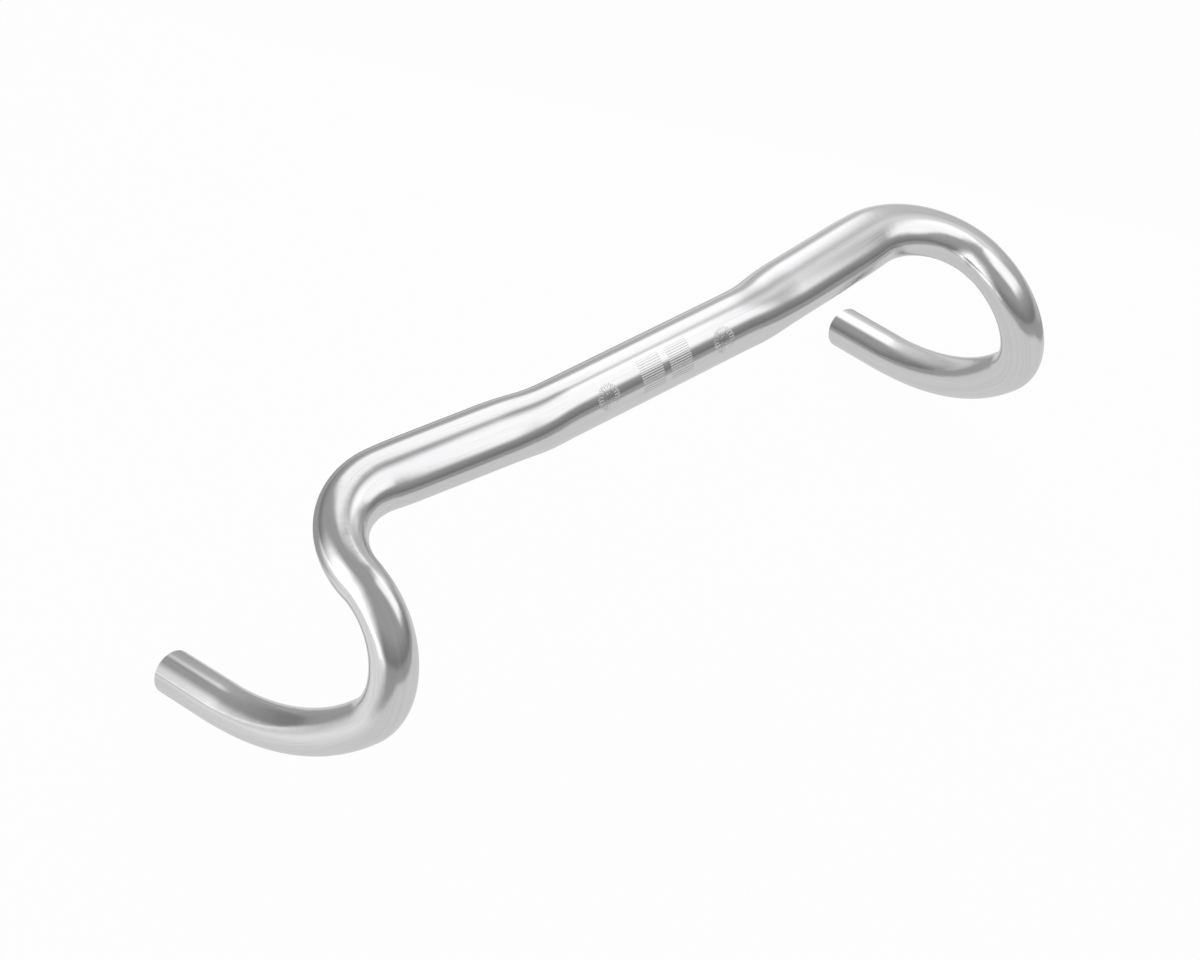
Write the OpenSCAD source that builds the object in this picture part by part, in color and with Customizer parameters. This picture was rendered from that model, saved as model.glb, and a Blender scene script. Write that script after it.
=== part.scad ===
/* [Clamp zone] */
// Outer diameter of the round middle that the stem clamps
clamp_d = 31.8; // [28:0.1:35]
// Half of the straight middle, from the centre to where the first bend starts
middle_half = 66; // [55:1:90]
// Wall of the tube in the middle
clamp_wall = 2.4; // [1.8:0.1:4]

/* [Grip grooves] */
// Number of grooves in each of the two patches
groove_n = 14; // [4:1:24]
// Spacing of the grooves round the tube
groove_pitch = 1.3; // [0.9:0.1:2]
// Width of one groove
groove_w = 0.7; // [0.3:0.1:0.8]
// Depth of one groove
groove_deep = 0.1; // [0.05:0.05:0.5]
// Length of one groove along the bar
groove_l = 14.5; // [6:0.5:17]
// Plain gap between the two patches
groove_gap = 4.5; // [2:0.5:10]
// Angle of the middle of the patches, up from straight ahead
groove_up = 32; // [0:1:90]

/* [Tops] */
// Radius of the bend that sweeps the tops back
sweep_r = 105; // [60:5:200]
// Angle of that bend
sweep_a = 8.5; // [2:0.5:14]
// Direction of the sweep, turned up from straight ahead
sweep_roll = 155; // [120:1:180]
// Radius of the slow bend that eases the sweep again
ease_r = 280; // [150:10:500]
// Angle of that bend
ease_a = 4; // [1:0.5:6]
// Straight length of the tops
tops_l = 63; // [40:1:100]
// Length over which the tube starts to go oval, before its first bend
oval_run = 10; // [4:1:14]
// Thin way of the oval at the inner end of the tops
oval_thin = 26.8; // [24:0.1:34]
// Wide way of the oval at the inner end of the tops
oval_wide = 34.8; // [28:0.1:38]
// Thin way of the oval where the tube starts to slim down to the grip
corner_thin = 26.2; // [23:0.1:32]
// Wide way of the oval there
corner_wide = 34.6; // [25:0.1:38]
// Lean of the oval's thin way, turned up from straight ahead
oval_lean = 73; // [45:1:90]

/* [Corner] */
// Length of the tops over which the tube starts to slim down
slim_run = 16; // [2:1:20]
// Radius of the corner that turns the bar forward
corner_r = 43.5; // [35:0.5:80]
// Angle of the corner
corner_a = 94.5; // [80:0.5:110]
// Direction of the corner, turned up from straight ahead
corner_roll = -11.5; // [-30:0.5:10]

/* [Drops] */
// Outer diameter of the grip
grip_d = 23.8; // [22.2:0.1:25.4]
// Wall of the tube in the grip
grip_wall = 1.9; // [1.4:0.1:3]
// Direction in which the drop bends, turned up from straight ahead
drop_roll = -111.5; // [-130:0.5:-90]
// Straight length between the corner and the drop
hood_l = 1; // [1:0.5:20]
// Radius of the bend under the brake lever
lever_r = 39.5; // [30:0.5:70]
// Angle of that bend
lever_a = 57.5; // [40:0.5:80]
// Radius of the bottom of the drop
bottom_r = 43; // [30:0.5:80]
// Angle of the bottom of the drop
bottom_a = 61.5; // [40:0.5:80]
// Straight length between the bottom of the drop and its tail
bottom_l = 3; // [1:0.5:20]
// Radius of the slow bend of the tail
tail_r = 165; // [80:5:300]
// Angle of the slow bend
tail_a = 39.5; // [20:0.5:50]
// Straight length at the open end
end_l = 37; // [30:1:90]
// Break on the edges of the open end
end_edge = 0.4; // [0.1:0.1:0.8]

/* [Hidden] */

$fn = 96;
// How far a stretch of tube runs into the stretch that it meets
lap = 0.4;
// How much smaller its radius is there, so that no two skins coincide
nest = 0.15;
// How far a cut runs past the face that it opens
past = 1;
// Sides of the oval stretch, and the turn of a bend between two of its rings
oval_sides = 24;
ring_turn = 8;

// Places and facings along the tube: x runs along the tube, and the frame starts at the centre of the bar
function along(d) = [[1, 0, 0, d], [0, 1, 0, 0], [0, 0, 1, 0], [0, 0, 0, 1]];
function aside(d) = [[1, 0, 0, 0], [0, 1, 0, d], [0, 0, 1, 0], [0, 0, 0, 1]];
function rolled(a) = [[1, 0, 0, 0], [0, cos(a), -sin(a), 0], [0, sin(a), cos(a), 0], [0, 0, 0, 1]];
function turned(a) = [[cos(a), -sin(a), 0, 0], [sin(a), cos(a), 0, 0], [0, 0, 1, 0], [0, 0, 0, 1]];
// What a bend of this radius, angle and direction does to the frame
function bent(r, a, roll) = rolled(roll) * aside(r) * turned(a) * aside(-r) * rolled(-roll);
function arc(r, a) = r * a * PI / 180;
function lap_turn(r) = lap / arc(r, 1);

at_sweep = along(middle_half);
at_ease = at_sweep * bent(sweep_r, sweep_a, sweep_roll);
at_tops = at_ease * bent(ease_r, ease_a, sweep_roll + 180);
at_corner = at_tops * along(tops_l);
at_hood = at_corner * bent(corner_r, corner_a, corner_roll);
at_lever = at_hood * along(hood_l);
at_bottom = at_lever * bent(lever_r, lever_a, drop_roll);
at_bottom_end = at_bottom * bent(bottom_r, bottom_a, drop_roll);
at_tail = at_bottom_end * along(bottom_l);
at_end = at_tail * bent(tail_r, tail_a, drop_roll);

// Lengths along the tube from the centre of the bar
l_oval = middle_half - oval_run;
l_ease = middle_half + arc(sweep_r, sweep_a);
l_tops = l_ease + arc(ease_r, ease_a);
l_corner = l_tops + tops_l;
l_slim = l_corner - slim_run;
l_hood = l_corner + arc(corner_r, corner_a);

// Share of the way from one length to another, held at 0 before and 1 after
function share(l, from, to) = min(1, max(0, (l - from) / (to - from)));
function eased(t) = t * t * (3 - 2 * t);
// A size of the section that changes from the middle to the oval, along the tops, and round the corner to the grip
function section(l, middle, oval, corner, grip) =
    middle
    + (oval - middle) * eased(share(l, l_oval, l_tops))
    + (corner - oval) * share(l, l_tops, l_slim)
    + (grip - corner) * eased(share(l, l_slim, l_hood));
function wall(l) = clamp_wall + (grip_wall - clamp_wall) * share(l, l_ease, l_hood);
function thin_way(l) = section(l, clamp_d, oval_thin, corner_thin, grip_d) / 2 - 2 * nest;
function wide_way(l) = section(l, clamp_d, oval_wide, corner_wide, grip_d) / 2 - 2 * nest;

// The rings of the oval stretch, each a frame and its length along the tube, at these shares of a bend
function bend_rings(start, l, r, a, roll, shares) =
    [for (t = shares) [start * bent(r, a * t, roll), l + arc(r, a * t)]];
function straight_rings(start, l, steps) = [for (d = steps) [start * along(d), l + d]];
corner_turns = ceil(corner_a / ring_turn);

// No ring lies where the middle or the drop ends, because their flat ends are there
oval_rings = concat(
    straight_rings(along(l_oval), l_oval, [-lap, oval_run / 2, oval_run]),
    bend_rings(at_sweep, middle_half, sweep_r, sweep_a, sweep_roll, [0.25, 0.5, 0.75, 1]),
    bend_rings(at_ease, l_ease, ease_r, ease_a, sweep_roll + 180, [0.25, 0.5, 0.75, 1]),
    straight_rings(at_tops, l_tops, [tops_l - slim_run, tops_l]),
    bend_rings(at_corner, l_corner, corner_r, corner_a, corner_roll,
        [for (i = [1 : corner_turns]) (i - 0.5) / corner_turns]),
    straight_rings(at_hood, l_hood, [lap])
);

// skin is 0 for the outside of the tube, and 1 for its bore
function grip_r(skin) = grip_d / 2 - skin * grip_wall;
function middle_r(skin) = clamp_d / 2 - skin * clamp_wall;

// The oval stretch, from the middle to the end of the corner
module oval_tube(skin) {
    rings = len(oval_rings);
    points = [
        for (ring = oval_rings, i = [0 : oval_sides - 1])
            let (
                l = ring[1],
                a = 360 * i / oval_sides,
                p = (thin_way(l) - skin * wall(l)) * cos(a),
                q = (wide_way(l) - skin * wall(l)) * sin(a),
                at = ring[0] * rolled(oval_lean) * [0, p, q, 1]
            )
            [at.x, at.y, at.z]
    ];
    faces = concat(
        [[for (i = [0 : oval_sides - 1]) i]],
        [
            for (k = [0 : rings - 2], i = [0 : oval_sides - 1])
                let (j = (i + 1) % oval_sides, here = k * oval_sides, next = here + oval_sides)
                [here + i, next + i, next + j, here + j]
        ],
        [[for (i = [oval_sides - 1 : -1 : 0]) (rings - 1) * oval_sides + i]]
    );
    polyhedron(points, faces);
}

module straight_tube(r, l, before = 0, after = 0) {
    translate([-before, 0, 0])
        rotate([0, 90, 0])
            cylinder(r = r, h = l + before + after);
}

// A bend that runs into both of its neighbours
module bent_tube(tube_r, r, a, roll) {
    rotate([roll, 0, 0])
        translate([0, r, 0])
            rotate_extrude(angle = a + 2 * lap_turn(r), start = -90 - lap_turn(r))
                translate([r, 0])
                    circle(r = tube_r);
}

// The drop of one side, with the straights at full size and each bend inside what it meets
module drop_tube(skin) {
    r = grip_r(skin);
    multmatrix(at_hood) straight_tube(r, hood_l);
    multmatrix(at_lever) bent_tube(r - nest, lever_r, lever_a, drop_roll);
    multmatrix(at_bottom) bent_tube(r - 2 * nest, bottom_r, bottom_a, drop_roll);
    multmatrix(at_bottom_end) straight_tube(r, bottom_l);
    multmatrix(at_tail) bent_tube(r - nest, tail_r, tail_a, drop_roll);
}

// The straight end, turned with a broken edge
module end_tube() {
    r = grip_r(0);
    multmatrix(at_end)
        rotate([0, 90, 0])
            rotate_extrude()
                polygon([[0, 0], [r, 0], [r, end_l - end_edge], [r - end_edge, end_l], [0, end_l]]);
}

// Its bore, which opens out at the edge
module end_bore() {
    r = grip_r(1);
    mouth_r = r + end_edge + past;
    multmatrix(at_end)
        rotate([0, 90, 0])
            rotate_extrude()
                polygon([[0, 0], [r, 0], [r, end_l - end_edge], [mouth_r, end_l + past], [0, end_l + past]]);
}

// One patch of grooves, along the bar beside the plain gap
module grooves() {
    // A round cutter that is as wide as the groove where it meets the skin, and as deep below it
    cutter_r = (pow(groove_w / 2, 2) + pow(groove_deep, 2)) / (2 * groove_deep);
    cutter_out = clamp_d / 2 - groove_deep + cutter_r;
    step = groove_pitch / arc(clamp_d / 2, 1);
    for (i = [0 : groove_n - 1])
        rotate([groove_up + (i - (groove_n - 1) / 2) * step, 0, 0])
            translate([groove_gap / 2, cutter_out, 0])
                straight_tube(cutter_r, groove_l);
}

module handlebar() {
    color("silver")
        difference() {
            union() {
                straight_tube(middle_r(0), l_oval, l_oval);
                for (side = [0, 1])
                    mirror([side, 0, 0]) {
                        oval_tube(0);
                        drop_tube(0);
                        end_tube();
                    }
            }
            straight_tube(middle_r(1), l_oval, l_oval);
            for (side = [0, 1])
                mirror([side, 0, 0]) {
                    oval_tube(1);
                    drop_tube(1);
                    end_bore();
                    grooves();
                }
        }
}

handlebar();
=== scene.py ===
import math
import bmesh
import bpy
from mathutils import Matrix, Vector


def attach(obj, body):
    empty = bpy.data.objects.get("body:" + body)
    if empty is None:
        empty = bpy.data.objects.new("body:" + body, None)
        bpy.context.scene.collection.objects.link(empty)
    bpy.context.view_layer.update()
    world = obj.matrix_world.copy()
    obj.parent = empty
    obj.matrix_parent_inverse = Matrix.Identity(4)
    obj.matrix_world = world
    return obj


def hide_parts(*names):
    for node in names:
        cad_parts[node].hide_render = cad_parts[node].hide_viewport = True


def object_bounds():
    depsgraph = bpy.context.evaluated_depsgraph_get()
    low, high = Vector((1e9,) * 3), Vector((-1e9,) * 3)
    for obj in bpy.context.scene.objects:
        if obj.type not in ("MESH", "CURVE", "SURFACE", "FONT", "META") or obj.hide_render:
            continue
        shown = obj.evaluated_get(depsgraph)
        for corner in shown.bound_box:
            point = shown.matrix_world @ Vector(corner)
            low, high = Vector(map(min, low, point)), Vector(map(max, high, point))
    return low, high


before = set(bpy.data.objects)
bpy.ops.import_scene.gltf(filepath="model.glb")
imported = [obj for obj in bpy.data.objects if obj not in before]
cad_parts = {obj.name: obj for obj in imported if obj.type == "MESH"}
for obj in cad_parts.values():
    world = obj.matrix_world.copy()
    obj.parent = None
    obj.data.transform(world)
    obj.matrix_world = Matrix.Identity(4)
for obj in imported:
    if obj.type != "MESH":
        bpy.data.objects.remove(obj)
cad_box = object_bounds()

# The bent tube. One length of aluminium tube makes the whole bar: its ends are drawn down to the grip
# diameter, its tops are pressed oval, and then it is bent round formers and polished.
# A fixed rule gives the middle line and the section, and the skin and the bore follow it.
MM = 0.001
clamp_r = 15.9 * MM
grip_r = 11.9 * MM
middle_half = 66 * MM
sweep_r, sweep_a, sweep_roll = 105 * MM, 8.5, 155
ease_r, ease_a = 280 * MM, 4
tops_l = 63 * MM
corner_r, corner_a, corner_roll = 43.5 * MM, 94.5, -11.5
hood_l = 1 * MM
lever_r, lever_a = 39.5 * MM, 57.5
bottom_r, bottom_a = 43 * MM, 61.5
bottom_l = 3 * MM
tail_r, tail_a = 165 * MM, 39.5
drop_roll = -111.5
end_l = 37 * MM
end_edge = 0.4 * MM
oval_run, oval_lean = 10 * MM, 73
slim_run = 16 * MM
oval_thin, oval_wide = 26.8 / 2 * MM, 34.8 / 2 * MM
corner_thin, corner_wide = 26.2 / 2 * MM, 34.6 / 2 * MM
clamp_wall, grip_wall = 2.4 * MM, 1.9 * MM
bend_slimming, slims_over, swells_over = 0.2 * MM, 6 * MM, 12 * MM
tube_sides = 96
skin_steps, bore_steps = (2.5 * MM, 1.25 * MM), (8 * MM, 3 * MM)


def slid(length):
    return Matrix.Translation((length, 0, 0))


def bent(radius, angle, roll):
    lean = Matrix.Rotation(math.radians(roll), 4, "X")
    turn = Matrix.Rotation(math.radians(angle), 4, "Z")
    to_centre = Matrix.Translation((0, radius, 0))
    return lean @ to_centre @ turn @ to_centre.inverted() @ lean.inverted()


# The stretches of the tube from the middle to the right end. A straight one has its length, and a bend has
# its radius, its angle and the direction in which it turns.
stretches = [
    ("straight", middle_half),
    ("bend", sweep_r, sweep_a, sweep_roll),
    ("bend", ease_r, ease_a, sweep_roll + 180),
    ("straight", tops_l),
    ("bend", corner_r, corner_a, corner_roll),
    ("straight", hood_l),
    ("bend", lever_r, lever_a, drop_roll),
    ("bend", bottom_r, bottom_a, drop_roll),
    ("straight", bottom_l),
    ("bend", tail_r, tail_a, drop_roll),
    ("straight", end_l),
]


def walk(step_straight, step_bend):
    """The places and facings along the right half of the tube, each with its length from the middle."""
    here, length, stops = Matrix.Identity(4), 0.0, []
    for stretch in stretches:
        if stretch[0] == "straight":
            run = stretch[1]
            count = max(1, round(run / step_straight))
            moves = [slid(run * i / count) for i in range(count + 1)]
        else:
            radius, angle, roll = stretch[1:]
            run = radius * math.radians(angle)
            count = max(3, round(run / step_bend))
            moves = [bent(radius, angle * i / count, roll) for i in range(count + 1)]
        stops += [(here @ moves[i], length + run * i / count) for i in range(count)]
        here = here @ moves[count]
        length += run
    return stops + [(here, length)]


def share(length, start, finish):
    """How far a length has come from start to finish, held at 0 before and at 1 after."""
    return min(1.0, max(0.0, (length - start) / (finish - start)))


def eased(part):
    return part * part * (3 - 2 * part)


ease_at = middle_half + sweep_r * math.radians(sweep_a)
tops_at = ease_at + ease_r * math.radians(ease_a)
corner_at = tops_at + tops_l
hood_at = corner_at + corner_r * math.radians(corner_a)
end_at = walk(*bore_steps)[-1][1] - end_l


def half_widths(length):
    """Half of the thin way and of the wide way of the section, at this length from the middle."""
    to_oval = eased(share(length, middle_half - oval_run, tops_at))
    along_tops = share(length, tops_at, corner_at - slim_run)
    to_grip = eased(share(length, corner_at - slim_run, hood_at))
    thin = clamp_r + (oval_thin - clamp_r) * to_oval + (corner_thin - oval_thin) * along_tops
    wide = clamp_r + (oval_wide - clamp_r) * to_oval + (corner_wide - oval_wide) * along_tops
    slimmer = bend_slimming * eased(share(length, hood_at, hood_at + slims_over))
    slimmer *= 1 - eased(share(length, end_at - swells_over, end_at))
    thin += (grip_r - corner_thin) * to_grip - slimmer
    wide += (grip_r - corner_wide) * to_grip - slimmer
    return thin, wide


def wall_at(length):
    return clamp_wall + (grip_wall - clamp_wall) * share(length, ease_at, hood_at)


def stations(steps, inset, side):
    """The rings of one half of the tube, the right one for side 1 and the left one for side -1.

    A ring is its centre, its two facings, its two half widths, its length from the middle and whether it
    lies in the bore.
    """
    rings = []
    for place, length in walk(*steps):
        lean = place @ Matrix.Rotation(math.radians(oval_lean), 4, "X")
        thin, wide = half_widths(length)
        centre, across, upright = lean.to_translation(), lean.col[1].xyz, lean.col[2].xyz
        for vector in (centre, across, upright):
            vector.x *= side
        sunk = inset(length)
        in_bore = 1.0 if sunk else 0.0
        rings.append((centre, across, upright, thin - sunk, wide - sunk, length * side, in_bore))
    return rings


def shifted(ring, outwards, inset):
    """A copy of an end ring, moved along the tube and made smaller."""
    centre, across, upright, thin, wide, along, in_bore = ring
    heading = across.cross(upright)
    heading *= 1 if heading.y < 0 else -1
    along += math.copysign(outwards, along)
    return (centre + heading * outwards, across, upright, thin - inset, wide - inset, along, in_bore)


# The rings run from the left end along the skin to the right end, and back along the bore
skin_right, skin_left = [stations(skin_steps, lambda length: 0.0, side) for side in (1, -1)]
bore_right, bore_left = [stations(bore_steps, wall_at, side) for side in (1, -1)]
loop = [shifted(skin_left[-1], 0, end_edge), shifted(skin_left[-1], -end_edge, 0)]
loop += skin_left[-2:0:-1] + skin_right[:-1]
loop += [shifted(skin_right[-1], -end_edge, 0), shifted(skin_right[-1], 0, end_edge)]
loop += [shifted(bore_right[-1], 0, -end_edge), shifted(bore_right[-1], -end_edge, 0)]
loop += bore_right[-2:0:-1] + bore_left[:-1]
loop += [shifted(bore_left[-1], -end_edge, 0), shifted(bore_left[-1], 0, -end_edge)]

path_mesh = bpy.data.meshes.new("bar_path")
path_mesh.from_pydata([ring[0] for ring in loop], [], [])
for name, kind, key, part in (
    ("across", "FLOAT_VECTOR", "vector", 1),
    ("upright", "FLOAT_VECTOR", "vector", 2),
    ("half_thin", "FLOAT", "value", 3),
    ("half_wide", "FLOAT", "value", 4),
    ("along", "FLOAT", "value", 5),
    ("inside", "FLOAT", "value", 6),
):
    values = path_mesh.attributes.new(name, kind, "POINT")
    for item, ring in zip(values.data, loop):
        setattr(item, key, ring[part])
tube = bpy.data.objects.new("bent_tube", path_mesh)
bpy.context.scene.collection.objects.link(tube)


def node(tree, kind, **settings):
    made = tree.nodes.new(kind)
    for key, value in settings.items():
        setattr(made, key, value)
    return made


def calc(tree, operation, a, b=None):
    """A maths node on two values, each a socket or a number."""
    made = node(tree, "ShaderNodeMath", operation=operation)
    for socket, value in zip(made.inputs, (a, b)):
        if value is None:
            continue
        if isinstance(value, (int, float)):
            socket.default_value = value
        else:
            tree.links.new(value, socket)
    return made.outputs[0]


def new_tree(name, inputs):
    tree = bpy.data.node_groups.new(name, "GeometryNodeTree")
    tree.interface.new_socket("Geometry", in_out="INPUT", socket_type="NodeSocketGeometry")
    tree.interface.new_socket("Geometry", in_out="OUTPUT", socket_type="NodeSocketGeometry")
    for label, kind, value in inputs:
        tree.interface.new_socket(label, in_out="INPUT", socket_type=kind).default_value = value
    return tree, node(tree, "NodeGroupInput"), node(tree, "NodeGroupOutput")


def wire(tree, start, finish):
    tree.links.new(start, finish)


# The skin is a grid of rings by sides, laid on the path's rings and closed both ways
skin_tree, skin_in, skin_out = new_tree("tube_skin", [
    ("Rings", "NodeSocketInt", len(loop)),
    ("Sides", "NodeSocketInt", tube_sides),
    ("Weld Distance", "NodeSocketFloat", 1e-6),
    ("Finish", "NodeSocketMaterial", None),
])
rings_plus = calc(skin_tree, "ADD", skin_in.outputs["Rings"], 1)
sides_plus = calc(skin_tree, "ADD", skin_in.outputs["Sides"], 1)
grid = node(skin_tree, "GeometryNodeMeshGrid")
wire(skin_tree, rings_plus, grid.inputs["Vertices X"])
wire(skin_tree, sides_plus, grid.inputs["Vertices Y"])
corner_no = node(skin_tree, "GeometryNodeInputIndex").outputs[0]
ring_no = calc(skin_tree, "FLOOR", calc(skin_tree, "DIVIDE", corner_no, sides_plus))
side_no = calc(skin_tree, "SUBTRACT", corner_no, calc(skin_tree, "MULTIPLY", ring_no, sides_plus))
ring_pick = calc(skin_tree, "MODULO", ring_no, skin_in.outputs["Rings"])
turn_share = calc(skin_tree, "DIVIDE", side_no, skin_in.outputs["Sides"])
turn_angle = calc(skin_tree, "MULTIPLY", turn_share, 2 * math.pi)


def of_ring(name, data_type):
    """The value of an attribute of the path at the ring that this corner of the grid belongs to."""
    pick = node(skin_tree, "GeometryNodeSampleIndex", data_type=data_type, domain="POINT")
    if name == "position":
        value = node(skin_tree, "GeometryNodeInputPosition").outputs[0]
    else:
        named = node(skin_tree, "GeometryNodeInputNamedAttribute", data_type=data_type)
        named.inputs["Name"].default_value = name
        value = named.outputs[0]
    wire(skin_tree, skin_in.outputs["Geometry"], pick.inputs["Geometry"])
    wire(skin_tree, value, pick.inputs["Value"])
    wire(skin_tree, ring_pick, pick.inputs["Index"])
    return pick.outputs[0]


def scaled(vector, amount):
    made = node(skin_tree, "ShaderNodeVectorMath", operation="SCALE")
    wire(skin_tree, vector, made.inputs[0])
    wire(skin_tree, amount, made.inputs["Scale"])
    return made.outputs[0]


def summed(a, b):
    made = node(skin_tree, "ShaderNodeVectorMath", operation="ADD")
    wire(skin_tree, a, made.inputs[0])
    wire(skin_tree, b, made.inputs[1])
    return made.outputs[0]


thin_part = calc(skin_tree, "MULTIPLY", of_ring("half_thin", "FLOAT"), calc(skin_tree, "COSINE", turn_angle))
wide_part = calc(skin_tree, "MULTIPLY", of_ring("half_wide", "FLOAT"), calc(skin_tree, "SINE", turn_angle))
thin_offset = scaled(of_ring("across", "FLOAT_VECTOR"), thin_part)
wide_offset = scaled(of_ring("upright", "FLOAT_VECTOR"), wide_part)
skin_point = summed(of_ring("position", "FLOAT_VECTOR"), summed(thin_offset, wide_offset))

# The way along and round the tube is kept as its UV map, in metres, for the polishing marks,
# and the rings of the bore are marked as inside
unrolled = node(skin_tree, "ShaderNodeCombineXYZ")
wire(skin_tree, of_ring("along", "FLOAT"), unrolled.inputs["X"])
wire(skin_tree, calc(skin_tree, "MULTIPLY", turn_angle, clamp_r), unrolled.inputs["Y"])
kept = node(skin_tree, "GeometryNodeCaptureAttribute", domain="POINT")
kept.capture_items.new("VECTOR", "Unrolled")
kept.capture_items.new("FLOAT", "Inside")
wire(skin_tree, grid.outputs["Mesh"], kept.inputs["Geometry"])
wire(skin_tree, unrolled.outputs[0], kept.inputs[1])
wire(skin_tree, of_ring("inside", "FLOAT"), kept.inputs[2])
laid = node(skin_tree, "GeometryNodeSetPosition")
wire(skin_tree, kept.outputs["Geometry"], laid.inputs["Geometry"])
wire(skin_tree, skin_point, laid.inputs["Position"])
mapped = node(skin_tree, "GeometryNodeStoreNamedAttribute", data_type="FLOAT2", domain="CORNER")
mapped.inputs["Name"].default_value = "unrolled"
wire(skin_tree, laid.outputs["Geometry"], mapped.inputs["Geometry"])
wire(skin_tree, kept.outputs[1], mapped.inputs["Value"])
marked = node(skin_tree, "GeometryNodeStoreNamedAttribute", data_type="FLOAT", domain="POINT")
marked.inputs["Name"].default_value = "inside"
wire(skin_tree, mapped.outputs["Geometry"], marked.inputs["Geometry"])
wire(skin_tree, kept.outputs[2], marked.inputs["Value"])
welded = node(skin_tree, "GeometryNodeMergeByDistance")
wire(skin_tree, marked.outputs["Geometry"], welded.inputs["Geometry"])
wire(skin_tree, skin_in.outputs["Weld Distance"], welded.inputs["Distance"])
real = node(skin_tree, "GeometryNodeRealizeInstances")
wire(skin_tree, welded.outputs["Geometry"], real.inputs["Geometry"])
painted = node(skin_tree, "GeometryNodeSetMaterial")
wire(skin_tree, real.outputs["Geometry"], painted.inputs["Geometry"])
wire(skin_tree, skin_in.outputs["Finish"], painted.inputs["Material"])
wire(skin_tree, painted.outputs["Geometry"], skin_out.inputs["Geometry"])

# Polished aluminium. The belt leaves fine lines along the tube, the formers leave faint ripples round the
# bends, and the drawn bore and all cuts stay duller. The marks lie on the tube as if it were still
# straight: its length along X, and its round section in Y and Z.
polish = bpy.data.materials.new("polished_aluminium")
polish.use_nodes = True
shade = polish.node_tree
metal = shade.nodes["Principled BSDF"]
metal.inputs["Metallic"].default_value = 1.0
skin_place = node(shade, "ShaderNodeSeparateXYZ")
wire(shade, node(shade, "ShaderNodeUVMap", uv_map="unrolled").outputs[0], skin_place.inputs[0])
skin_angle = calc(shade, "DIVIDE", skin_place.outputs["Y"], clamp_r)
straightened = node(shade, "ShaderNodeCombineXYZ")
wire(shade, skin_place.outputs["X"], straightened.inputs["X"])
wire(shade, calc(shade, "MULTIPLY", calc(shade, "COSINE", skin_angle), clamp_r), straightened.inputs["Y"])
wire(shade, calc(shade, "MULTIPLY", calc(shade, "SINE", skin_angle), clamp_r), straightened.inputs["Z"])


def marks(length, width, detail):
    """Noise from 0 to 1 in marks of about this length along the tube and width round it."""
    stretched = node(shade, "ShaderNodeMapping")
    stretched.inputs["Scale"].default_value = (1 / length, 1 / width, 1 / width)
    wire(shade, straightened.outputs[0], stretched.inputs["Vector"])
    grain = node(shade, "ShaderNodeTexNoise")
    grain.inputs["Scale"].default_value = 1.0
    grain.inputs["Detail"].default_value = detail
    wire(shade, stretched.outputs[0], grain.inputs["Vector"])
    return grain.outputs["Fac"]


def step_up(tree, value, low, high, below, above):
    """A smooth step from one level to another as the value rises from low to high."""
    made = node(tree, "ShaderNodeMapRange", interpolation_type="SMOOTHSTEP")
    wire(tree, value, made.inputs["Value"])
    for label, number in (("From Min", low), ("From Max", high), ("To Min", below), ("To Max", above)):
        made.inputs[label].default_value = number
    return made.outputs[0]


def tone(part, first, second):
    """A colour between the first and the second, which are sockets or fixed colours."""
    made = node(shade, "ShaderNodeMix", data_type="RGBA")
    wire(shade, part, made.inputs[0])
    for socket, value in ((made.inputs[6], first), (made.inputs[7], second)):
        if isinstance(value, tuple):
            socket.default_value = value
        else:
            wire(shade, value, socket)
    return made.outputs[2]


belt_lines = marks(length=34 * MM, width=0.6 * MM, detail=2.0)
belt_bands = marks(length=90 * MM, width=3.5 * MM, detail=2.0)
hand_marks = marks(length=24 * MM, width=20 * MM, detail=3.0)
rub_noise = marks(length=0.9 * MM, width=8 * MM, detail=1.0)
rub_marks = step_up(shade, rub_noise, 0.66, 0.74, 0.0, 1.0)
inside = node(shade, "ShaderNodeAttribute", attribute_name="inside").outputs["Fac"]
cut = node(shade, "ShaderNodeAttribute", attribute_name="cut").outputs["Fac"]

# Ripples and dullness are strongest round the bends and fade out along the straight middle and ends
bends_fade, ends_fade, middle_share, ends_share = 12 * MM, 30 * MM, 0.12, 0.15
from_middle = calc(shade, "ABSOLUTE", skin_place.outputs["X"])
past_tops = step_up(shade, from_middle, corner_at - bends_fade, corner_at + bends_fade, middle_share, 1.0)
before_ends = step_up(shade, from_middle, end_at - ends_fade, end_at, 1.0, ends_share)
in_bends = calc(shade, "MULTIPLY", past_tops, before_ends)

# The clean polish has this roughness, and each kind of mark adds its own
roughness = 0.045
for mark, added in (
    (belt_lines, 0.07),
    (hand_marks, 0.07),
    (in_bends, 0.035),
    (belt_bands, 0.04),
    (rub_marks, 0.05),
    (cut, 0.04),
    (inside, 0.30),
):
    roughness = calc(shade, "ADD", roughness, calc(shade, "MULTIPLY", mark, added))
wire(shade, roughness, metal.inputs["Roughness"])

band_grey, skin_grey = (0.785, 0.785, 0.797, 1), (0.82, 0.82, 0.826, 1)
line_grey, bore_grey = (0.745, 0.745, 0.76, 1), (0.60, 0.605, 0.62, 1)
banded_skin = tone(step_up(shade, belt_bands, 0.35, 0.65, 0.0, 1.0), band_grey, skin_grey)
lined_skin = tone(step_up(shade, belt_lines, 0.30, 0.46, 1.0, 0.0), banded_skin, line_grey)
wire(shade, tone(inside, lined_skin, bore_grey), metal.inputs["Base Color"])

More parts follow.
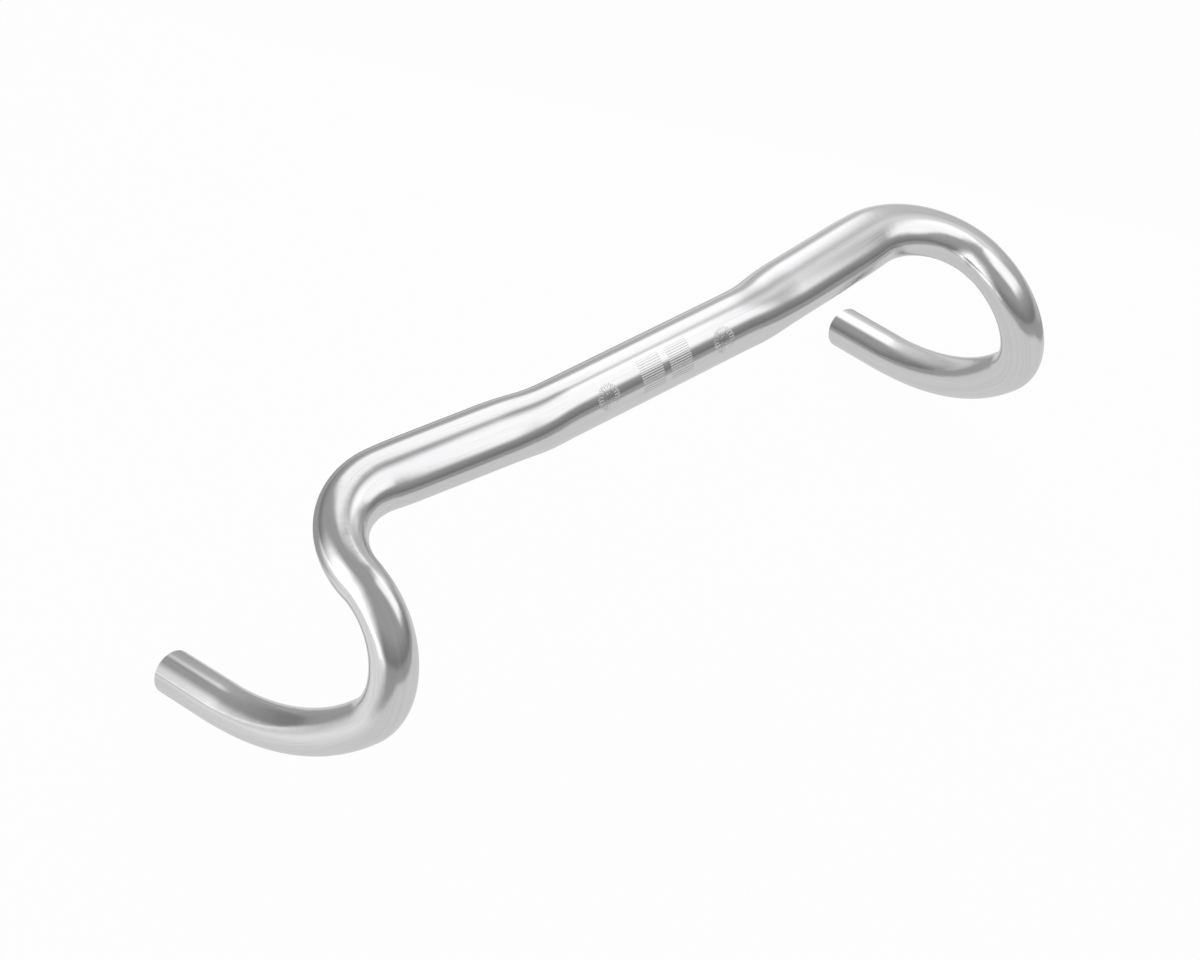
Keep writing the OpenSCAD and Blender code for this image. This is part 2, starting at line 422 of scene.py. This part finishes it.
ripple_high, small_ripple_share, line_high = 0.075 * MM, 0.4, 0.004 * MM
former_ripples = marks(length=8 * MM, width=13 * MM, detail=1.0)
finer_ripples = marks(length=3 * MM, width=7 * MM, detail=1.0)
small_ripples = calc(shade, "MULTIPLY", finer_ripples, small_ripple_share)
ripples = calc(shade, "ADD", former_ripples, small_ripples)
rippled = node(shade, "ShaderNodeBump")
rippled.inputs["Distance"].default_value = ripple_high
wire(shade, calc(shade, "MULTIPLY", ripples, in_bends), rippled.inputs["Height"])
brushed = node(shade, "ShaderNodeBump")
brushed.inputs["Distance"].default_value = line_high
wire(shade, belt_lines, brushed.inputs["Height"])
wire(shade, rippled.outputs[0], brushed.inputs["Normal"])
wire(shade, brushed.outputs[0], metal.inputs["Normal"])


def set_input(modifier, tree, label, value):
    socket = next(i for i in tree.interface.items_tree if i.name == label and i.in_out == "INPUT")
    modifier[socket.identifier] = value


laying = tube.modifiers.new("tube_skin", "NODES")
laying.node_group = skin_tree
set_input(laying, skin_tree, "Finish", polish)

# The grip grooves. Two patches of fine grooves are milled along the front of the clamp seat, with a plain
# gap at the middle of the bar, so that the stem's clamp can't slip round.
groove_n = 14
groove_pitch, groove_w, groove_deep = 1.3 * MM, 0.7 * MM, 0.1 * MM
groove_l, groove_gap, groove_up = 14.5 * MM, 4.5 * MM, 32
cutter_r = (groove_w ** 2 / 4 + groove_deep ** 2) / (2 * groove_deep)
cutter_sides, crisp_angle = 32, 24


def cut_away(tree, tree_in, tree_out, cutters):
    """Takes the cutters out of the tube, marks what they cut, and keeps the edges crisp."""
    cutting = node(tree, "GeometryNodeRealizeInstances")
    wire(tree, cutters, cutting.inputs["Geometry"])
    marked = node(tree, "GeometryNodeStoreNamedAttribute", data_type="FLOAT", domain="FACE")
    marked.inputs["Name"].default_value = "cut"
    marked.inputs["Value"].default_value = 1.0
    wire(tree, cutting.outputs["Geometry"], marked.inputs["Geometry"])
    milled = node(tree, "GeometryNodeMeshBoolean", operation="DIFFERENCE", solver="EXACT")
    wire(tree, tree_in.outputs["Geometry"], milled.inputs["Mesh 1"])
    wire(tree, marked.outputs["Geometry"], milled.inputs["Mesh 2"])
    smooth = node(tree, "GeometryNodeSetShadeSmooth", domain="FACE")
    wire(tree, milled.outputs["Mesh"], smooth.inputs["Geometry"])
    crisp = node(tree, "FunctionNodeCompare", data_type="FLOAT", operation="GREATER_THAN")
    wire(tree, node(tree, "GeometryNodeInputMeshEdgeAngle").outputs["Unsigned Angle"], crisp.inputs["A"])
    wire(tree, tree_in.outputs["Crisp Angle"], crisp.inputs["B"])
    edged = node(tree, "GeometryNodeSetShadeSmooth", domain="EDGE")
    edged.inputs["Shade Smooth"].default_value = False
    wire(tree, smooth.outputs["Geometry"], edged.inputs["Geometry"])
    wire(tree, crisp.outputs["Result"], edged.inputs["Selection"])
    real = node(tree, "GeometryNodeRealizeInstances")
    wire(tree, edged.outputs["Geometry"], real.inputs["Geometry"])
    painted = node(tree, "GeometryNodeSetMaterial")
    wire(tree, real.outputs["Geometry"], painted.inputs["Geometry"])
    wire(tree, tree_in.outputs["Finish"], painted.inputs["Material"])
    wire(tree, painted.outputs["Geometry"], tree_out.inputs["Geometry"])


groove_tree, groove_in, groove_out = new_tree("grip_grooves", [
    ("Grooves", "NodeSocketInt", groove_n),
    ("Step Angle", "NodeSocketFloat", groove_pitch / clamp_r),
    ("Middle Angle", "NodeSocketFloat", math.radians(groove_up)),
    ("Cutter Radius", "NodeSocketFloat", cutter_r),
    ("Cutter Out", "NodeSocketFloat", clamp_r - groove_deep + cutter_r),
    ("Length", "NodeSocketFloat", groove_l),
    ("Gap", "NodeSocketFloat", groove_gap),
    ("Cutter Sides", "NodeSocketInt", cutter_sides),
    ("Crisp Angle", "NodeSocketFloat", math.radians(crisp_angle)),
    ("Finish", "NodeSocketMaterial", None),
])
sizes = groove_in.outputs
groove_dots = node(groove_tree, "GeometryNodePoints")
wire(groove_tree, calc(groove_tree, "MULTIPLY", sizes["Grooves"], 2), groove_dots.inputs["Count"])
groove_no = node(groove_tree, "GeometryNodeInputIndex").outputs[0]
patch_no = calc(groove_tree, "FLOOR", calc(groove_tree, "DIVIDE", groove_no, sizes["Grooves"]))
before_patch = calc(groove_tree, "MULTIPLY", patch_no, sizes["Grooves"])
in_patch = calc(groove_tree, "SUBTRACT", groove_no, before_patch)
half_patch = calc(groove_tree, "DIVIDE", calc(groove_tree, "SUBTRACT", sizes["Grooves"], 1), 2)
steps_up = calc(groove_tree, "SUBTRACT", in_patch, half_patch)
groove_climb = calc(groove_tree, "MULTIPLY", steps_up, sizes["Step Angle"])
groove_angle = calc(groove_tree, "ADD", sizes["Middle Angle"], groove_climb)
patch_side = calc(groove_tree, "SUBTRACT", calc(groove_tree, "MULTIPLY", patch_no, 2), 1)
patch_out = calc(groove_tree, "DIVIDE", calc(groove_tree, "ADD", sizes["Length"], sizes["Gap"]), 2)
groove_spot = node(groove_tree, "ShaderNodeCombineXYZ")
wire(groove_tree, calc(groove_tree, "MULTIPLY", patch_side, patch_out), groove_spot.inputs["X"])
for axis, part_of in (("Y", "COSINE"), ("Z", "SINE")):
    reach = calc(groove_tree, "MULTIPLY", sizes["Cutter Out"], calc(groove_tree, part_of, groove_angle))
    wire(groove_tree, reach, groove_spot.inputs[axis])
wire(groove_tree, groove_spot.outputs[0], groove_dots.inputs["Position"])
cutter = node(groove_tree, "GeometryNodeMeshCylinder")
wire(groove_tree, sizes["Cutter Sides"], cutter.inputs["Vertices"])
wire(groove_tree, sizes["Cutter Radius"], cutter.inputs["Radius"])
wire(groove_tree, sizes["Length"], cutter.inputs["Depth"])
lying = node(groove_tree, "GeometryNodeTransform")
lying.inputs["Rotation"].default_value = (0, math.pi / 2, 0)
wire(groove_tree, cutter.outputs["Mesh"], lying.inputs["Geometry"])
cutters = node(groove_tree, "GeometryNodeInstanceOnPoints")
wire(groove_tree, groove_dots.outputs[0], cutters.inputs["Points"])
wire(groove_tree, lying.outputs["Geometry"], cutters.inputs["Instance"])
cut_away(groove_tree, groove_in, groove_out, cutters.outputs["Instances"])

milling = tube.modifiers.new("grip_grooves", "NODES")
milling.node_group = groove_tree
set_input(milling, groove_tree, "Finish", polish)

# The engraved rosettes. On each side of the grooves a plain ring of rays is engraved in the clamp seat with
# a round-nosed cutter, as an ornament of the maker's own. The cuts are shallow, and follow the round tube.
rosette_x, rosette_up = 39 * MM, 27
ray_n, ray_at, ray_l = 18, 5.2 * MM, 3.4 * MM
short_ray_at, short_ray_l = 6.3 * MM, 1.6 * MM
dash_n, dash_at, dash_l = 10, 2.3 * MM, 0.9 * MM
graver_r, graver_deep, graver_sides = 0.3 * MM, 0.13 * MM, 14

rosette_tree, rosette_in, rosette_out = new_tree("engraved_rosettes", [
    ("Rays", "NodeSocketInt", ray_n),
    ("Ray Place", "NodeSocketFloat", ray_at),
    ("Ray Length", "NodeSocketFloat", ray_l),
    ("Short Ray Place", "NodeSocketFloat", short_ray_at),
    ("Short Ray Length", "NodeSocketFloat", short_ray_l),
    ("Dashes", "NodeSocketInt", dash_n),
    ("Dash Place", "NodeSocketFloat", dash_at),
    ("Dash Length", "NodeSocketFloat", dash_l),
    ("Graver Radius", "NodeSocketFloat", graver_r),
    ("Graver Out", "NodeSocketFloat", clamp_r - graver_deep + graver_r),
    ("Graver Sides", "NodeSocketInt", graver_sides),
    ("Tube Radius", "NodeSocketFloat", clamp_r),
    ("Along", "NodeSocketFloat", rosette_x),
    ("Up Angle", "NodeSocketFloat", math.radians(rosette_up)),
    ("Crisp Angle", "NodeSocketFloat", math.radians(crisp_angle)),
    ("Finish", "NodeSocketMaterial", None),
])


def ring_of_cuts(number, place, length, start, round_the_ring):
    """Cutters on a circle round each rosette's middle, which point outwards or follow the circle."""
    tree, given = rosette_tree, rosette_in.outputs
    dots = node(tree, "GeometryNodePoints")
    wire(tree, calc(tree, "MULTIPLY", given[number], 2), dots.inputs["Count"])
    cut_no = node(tree, "GeometryNodeInputIndex").outputs[0]
    half = calc(tree, "FLOOR", calc(tree, "DIVIDE", cut_no, given[number]))
    in_ring = calc(tree, "SUBTRACT", cut_no, calc(tree, "MULTIPLY", half, given[number]))
    in_ring = calc(tree, "ADD", in_ring, start)
    angle = calc(tree, "MULTIPLY", calc(tree, "DIVIDE", in_ring, given[number]), 2 * math.pi)
    level, rise = calc(tree, "COSINE", angle), calc(tree, "SINE", angle)
    side = calc(tree, "SUBTRACT", calc(tree, "MULTIPLY", half, 2), 1)
    along = calc(tree, "MULTIPLY", side, given["Along"])
    along = calc(tree, "ADD", along, calc(tree, "MULTIPLY", given[place], level))
    climb = calc(tree, "DIVIDE", calc(tree, "MULTIPLY", given[place], rise), given["Tube Radius"])
    tilt = calc(tree, "ADD", given["Up Angle"], climb)
    forward, upward = calc(tree, "COSINE", tilt), calc(tree, "SINE", tilt)
    spot = node(tree, "ShaderNodeCombineXYZ")
    wire(tree, along, spot.inputs["X"])
    wire(tree, calc(tree, "MULTIPLY", given["Graver Out"], forward), spot.inputs["Y"])
    wire(tree, calc(tree, "MULTIPLY", given["Graver Out"], upward), spot.inputs["Z"])
    wire(tree, spot.outputs[0], dots.inputs["Position"])
    if round_the_ring:
        level, rise = calc(tree, "MULTIPLY", rise, -1), level
    heading = node(tree, "ShaderNodeCombineXYZ")
    wire(tree, level, heading.inputs["X"])
    wire(tree, calc(tree, "MULTIPLY", calc(tree, "MULTIPLY", rise, upward), -1), heading.inputs["Y"])
    wire(tree, calc(tree, "MULTIPLY", rise, forward), heading.inputs["Z"])
    facing = node(tree, "FunctionNodeAlignRotationToVector", axis="Z")
    wire(tree, heading.outputs[0], facing.inputs["Vector"])
    graver = node(tree, "GeometryNodeMeshCylinder")
    wire(tree, given["Graver Sides"], graver.inputs["Vertices"])
    wire(tree, given["Graver Radius"], graver.inputs["Radius"])
    wire(tree, given[length], graver.inputs["Depth"])
    spread = node(tree, "GeometryNodeInstanceOnPoints")
    wire(tree, dots.outputs[0], spread.inputs["Points"])
    wire(tree, graver.outputs["Mesh"], spread.inputs["Instance"])
    wire(tree, facing.outputs[0], spread.inputs["Rotation"])
    return spread.outputs["Instances"]


gathered = node(rosette_tree, "GeometryNodeJoinGeometry")
for cuts in (
    ring_of_cuts("Rays", "Ray Place", "Ray Length", 0.0, False),
    ring_of_cuts("Rays", "Short Ray Place", "Short Ray Length", 0.5, False),
    ring_of_cuts("Dashes", "Dash Place", "Dash Length", 0.0, True),
):
    wire(rosette_tree, cuts, gathered.inputs["Geometry"])
cut_away(rosette_tree, rosette_in, rosette_out, gathered.outputs["Geometry"])

engraving = tube.modifiers.new("engraved_rosettes", "NODES")
engraving.node_group = rosette_tree
set_input(engraving, rosette_tree, "Finish", polish)

# The finished bar. The bent, milled and engraved tube is kept as one plain mesh, which stands for the whole
# aluminium bar, the only node of the part.
bpy.context.view_layer.update()
finished = tube.evaluated_get(bpy.context.evaluated_depsgraph_get())
plain_mesh = bpy.data.meshes.new_from_object(finished)
tube.modifiers.clear()
tube.data = plain_mesh
shell = bmesh.new()
shell.from_mesh(tube.data)
bmesh.ops.recalc_face_normals(shell, faces=shell.faces)
if shell.calc_volume(signed=True) < 0:
    bmesh.ops.reverse_faces(shell, faces=shell.faces)
shell.to_mesh(tube.data)
shell.free()

# The cuts leave long faces in the clamp seat, so its corners take their normals from the circle. A corner
# counts as on the circle when it lies no deeper than this.
on_circle = 0.05 * MM
facings = [corner.vector.copy() for corner in tube.data.corner_normals]
cut_marks = tube.data.attributes["cut"].data
for face in tube.data.polygons:
    if cut_marks[face.index].value > 0.5 or abs(face.center.x) > middle_half - oval_run:
        continue
    for corner in face.loop_indices:
        point = tube.data.vertices[tube.data.loops[corner].vertex_index].co
        outwards = Vector((0, point.y, point.z))
        if outwards.length > clamp_r - on_circle:
            facings[corner] = outwards.normalized()
tube.data.normals_split_custom_set(facings)
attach(tube, "root")
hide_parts("handlebar")

# The studio. The bar lies on white paper in a dim room, and soft boxes hang round it. What the polished
# tube shows is these: the paper's glow with its painted pools of light as its lower bands, the boxes as its
# bright bands, and the dim room between them as its dark ones. The camera sees the paper as plain white.
floor_half, floor_z = 6, cad_box[0][2]
floor_corners = [(x * floor_half, y * floor_half, floor_z) for x, y in ((-1, -1), (1, -1), (1, 1), (-1, 1))]
floor_mesh = bpy.data.meshes.new("floor")
floor_mesh.from_pydata(floor_corners, [], [(0, 1, 2, 3)])
floor = bpy.data.objects.new("floor", floor_mesh)
bpy.context.scene.collection.objects.link(floor)
paper = bpy.data.materials.new("white_paper")
paper.use_nodes = True
sheet = paper.node_tree
white = sheet.nodes["Principled BSDF"]
white.inputs["Base Color"].default_value = (0.9, 0.9, 0.9, 1)
white.inputs["Roughness"].default_value = 0.9
white.inputs["Specular IOR Level"].default_value = 0.0

# A soft edge runs from this many times its fade inside the edge to as far outside it
edge_run = 2.5


def soft_patch(tree, across, up, half_across, half_up, fade):
    """1 inside a rectangle round the origin and 0 outside it, with soft edges."""
    covers = []
    for away, half in ((across, half_across), (up, half_up)):
        away = calc(tree, "ABSOLUTE", away)
        covers.append(step_up(tree, away, half - edge_run * fade, half + edge_run * fade, 1.0, 0.0))
    return calc(tree, "MULTIPLY", covers[0], covers[1])


def painted_light_pool(light, centre, turn, half_across, half_up, fade):
    """A painted pool of light, which only reflections see: what it adds to the paper's glow at a place on
    the floor.
    """
    spot = node(sheet, "ShaderNodeMapping", vector_type="TEXTURE")
    spot.inputs["Location"].default_value = (centre[0], centre[1], 0)
    spot.inputs["Rotation"].default_value = (0, 0, math.radians(turn))
    wire(sheet, node(sheet, "ShaderNodeTexCoord").outputs["Object"], spot.inputs["Vector"])
    apart = node(sheet, "ShaderNodeSeparateXYZ")
    wire(sheet, spot.outputs[0], apart.inputs[0])
    patch = soft_patch(sheet, apart.outputs["X"], apart.outputs["Y"], half_across, half_up, fade)
    return calc(sheet, "MULTIPLY", patch, light)


# For reflected rays the paper glows at a dim level, with two painted pools of light added; for the camera it
# is nearly all plain white glow
dim_paper, camera_share = 0.37, 0.97
near_patch = painted_light_pool(0.32, centre=(-0.03, 0.16), turn=-3, half_across=0.40, half_up=0.29, fade=0.013)
far_patch = painted_light_pool(0.45, centre=(2.23, -0.72), turn=24, half_across=1.47, half_up=1.45, fade=0.036)
paper_glow = calc(sheet, "ADD", calc(sheet, "ADD", near_patch, far_patch), dim_paper)
ray = node(sheet, "ShaderNodeLightPath")
mirrored = calc(sheet, "MAXIMUM", ray.outputs["Is Glossy Ray"], ray.outputs["Is Transmission Ray"])
glow = node(sheet, "ShaderNodeEmission")
glow_mix = node(sheet, "ShaderNodeMix", data_type="FLOAT")
wire(sheet, mirrored, glow_mix.inputs[0])
glow_mix.inputs[2].default_value = 1.0
wire(sheet, paper_glow, glow_mix.inputs[3])
wire(sheet, glow_mix.outputs[0], glow.inputs["Strength"])
seen_plain = calc(sheet, "MULTIPLY", ray.outputs["Is Camera Ray"], camera_share)
blend = node(sheet, "ShaderNodeMixShader")
wire(sheet, calc(sheet, "MAXIMUM", seen_plain, mirrored), blend.inputs[0])
wire(sheet, white.outputs[0], blend.inputs[1])
wire(sheet, glow.outputs[0], blend.inputs[2])
wire(sheet, blend.outputs[0], sheet.nodes["Material Output"].inputs["Surface"])
floor_mesh.materials.append(paper)

# The room is darker low down than overhead, and white only where the camera sees it
low_at, high_at, low_light, high_light = -0.05, 0.55, 0.20, 0.38
world = bpy.data.worlds.new("studio")
world.use_nodes = True
bpy.context.scene.world = world
room = world.node_tree
backdrop = room.nodes["Background"]
backdrop.inputs["Color"].default_value = (1, 1, 1, 1)
height = node(room, "ShaderNodeSeparateXYZ")
wire(room, node(room, "ShaderNodeTexCoord").outputs["Generated"], height.inputs[0])
dim_room = step_up(room, height.outputs["Z"], low_at, high_at, low_light, high_light)
strength = node(room, "ShaderNodeMix", data_type="FLOAT")
wire(room, node(room, "ShaderNodeLightPath").outputs["Is Camera Ray"], strength.inputs[0])
wire(room, dim_room, strength.inputs[2])
strength.inputs[3].default_value = 1.0
wire(room, strength.outputs[0], backdrop.inputs["Strength"])


def soft_box(name, azimuth, elevation, distance, half_across, half_up, roll, brightness, fade):
    """A lamp that faces the middle of the bar and fades towards its edges. Its angles are in degrees."""
    azimuth, elevation, roll = math.radians(azimuth), math.radians(elevation), math.radians(roll)
    flat = math.cos(elevation)
    out = Vector((flat * math.cos(azimuth), flat * math.sin(azimuth), math.sin(elevation)))
    level = Vector((0, 0, 1)).cross(-out).normalized()
    rise = level.cross(out)
    tilt = Matrix.Rotation(roll, 3, out)
    level, rise = tilt @ level, tilt @ rise
    lamp = bpy.data.lights.new(name, "AREA")
    lamp.shape = "RECTANGLE"
    lamp.size = 2 * (half_across + edge_run * fade)
    lamp.size_y = 2 * (half_up + edge_run * fade)
    lamp.energy = brightness * math.pi * lamp.size * lamp.size_y
    lamp.use_nodes = True
    cloth = lamp.node_tree
    apart = node(cloth, "ShaderNodeSeparateXYZ")
    wire(cloth, node(cloth, "ShaderNodeNewGeometry").outputs["Parametric"], apart.inputs[0])
    places = []
    for axis, size in (("X", lamp.size), ("Y", lamp.size_y)):
        places.append(calc(cloth, "MULTIPLY", calc(cloth, "SUBTRACT", apart.outputs[axis], 0.5), size))
    shine = soft_patch(cloth, places[0], places[1], half_across, half_up, fade)
    wire(cloth, shine, cloth.nodes["Emission"].inputs["Strength"])
    box = bpy.data.objects.new(name, lamp)
    bpy.context.scene.collection.objects.link(box)
    box.matrix_world = Matrix((level, -rise, out)).transposed().to_4x4()
    box.matrix_world.translation = out * distance
    box.visible_camera = False


soft_box(
    "box_ahead", azimuth=-15, elevation=2, distance=0.88, half_across=0.09, half_up=0.63, roll=12,
    brightness=2.69, fade=0.231)
soft_box(
    "box_left", azimuth=135, elevation=53, distance=0.52, half_across=0.21, half_up=0.26, roll=-17,
    brightness=0.81, fade=0.032)
soft_box(
    "box_behind", azimuth=-122, elevation=46, distance=1.38, half_across=0.52, half_up=0.52, roll=18,
    brightness=0.72, fade=0.07)
soft_box(
    "box_right", azimuth=-147, elevation=-4, distance=0.44, half_across=0.02, half_up=0.04, roll=1,
    brightness=1.5, fade=0.42)
soft_box(
    "box_low", azimuth=178, elevation=46, distance=0.46, half_across=0.06, half_up=0.14, roll=-1,
    brightness=0.39, fade=0.029)

# The camera. It looks down on the bar from the front, from about one and a half metres away. Its place, its
# facings and its focal length, in pixels of the picture, were fitted to the outline in the photograph.
camera_place = (0.8496, 0.8298, 0.9319)
camera_right, camera_forward = (-0.74877, 0.65914, 0.06987), (-0.53638, -0.54061, -0.64810)
focal_px, picture_px, sensor_mm, clip_near = 2989.9, 1200, 36, 0.05
camera = bpy.data.objects.new("camera", bpy.data.cameras.new("camera"))
bpy.context.scene.collection.objects.link(camera)
forward = Vector(camera_forward).normalized()
down = forward.cross(Vector(camera_right)).normalized()
right = down.cross(forward).normalized()
camera_turn = Matrix((right, -down, -forward)).transposed().to_4x4()
camera.matrix_world = Matrix.Translation(camera_place) @ camera_turn
camera.data.sensor_width = sensor_mm
camera.data.lens = focal_px / picture_px * sensor_mm
camera.data.clip_start = clip_near
bpy.context.scene.camera = camera
bpy.context.scene.view_settings.view_transform = "Standard"
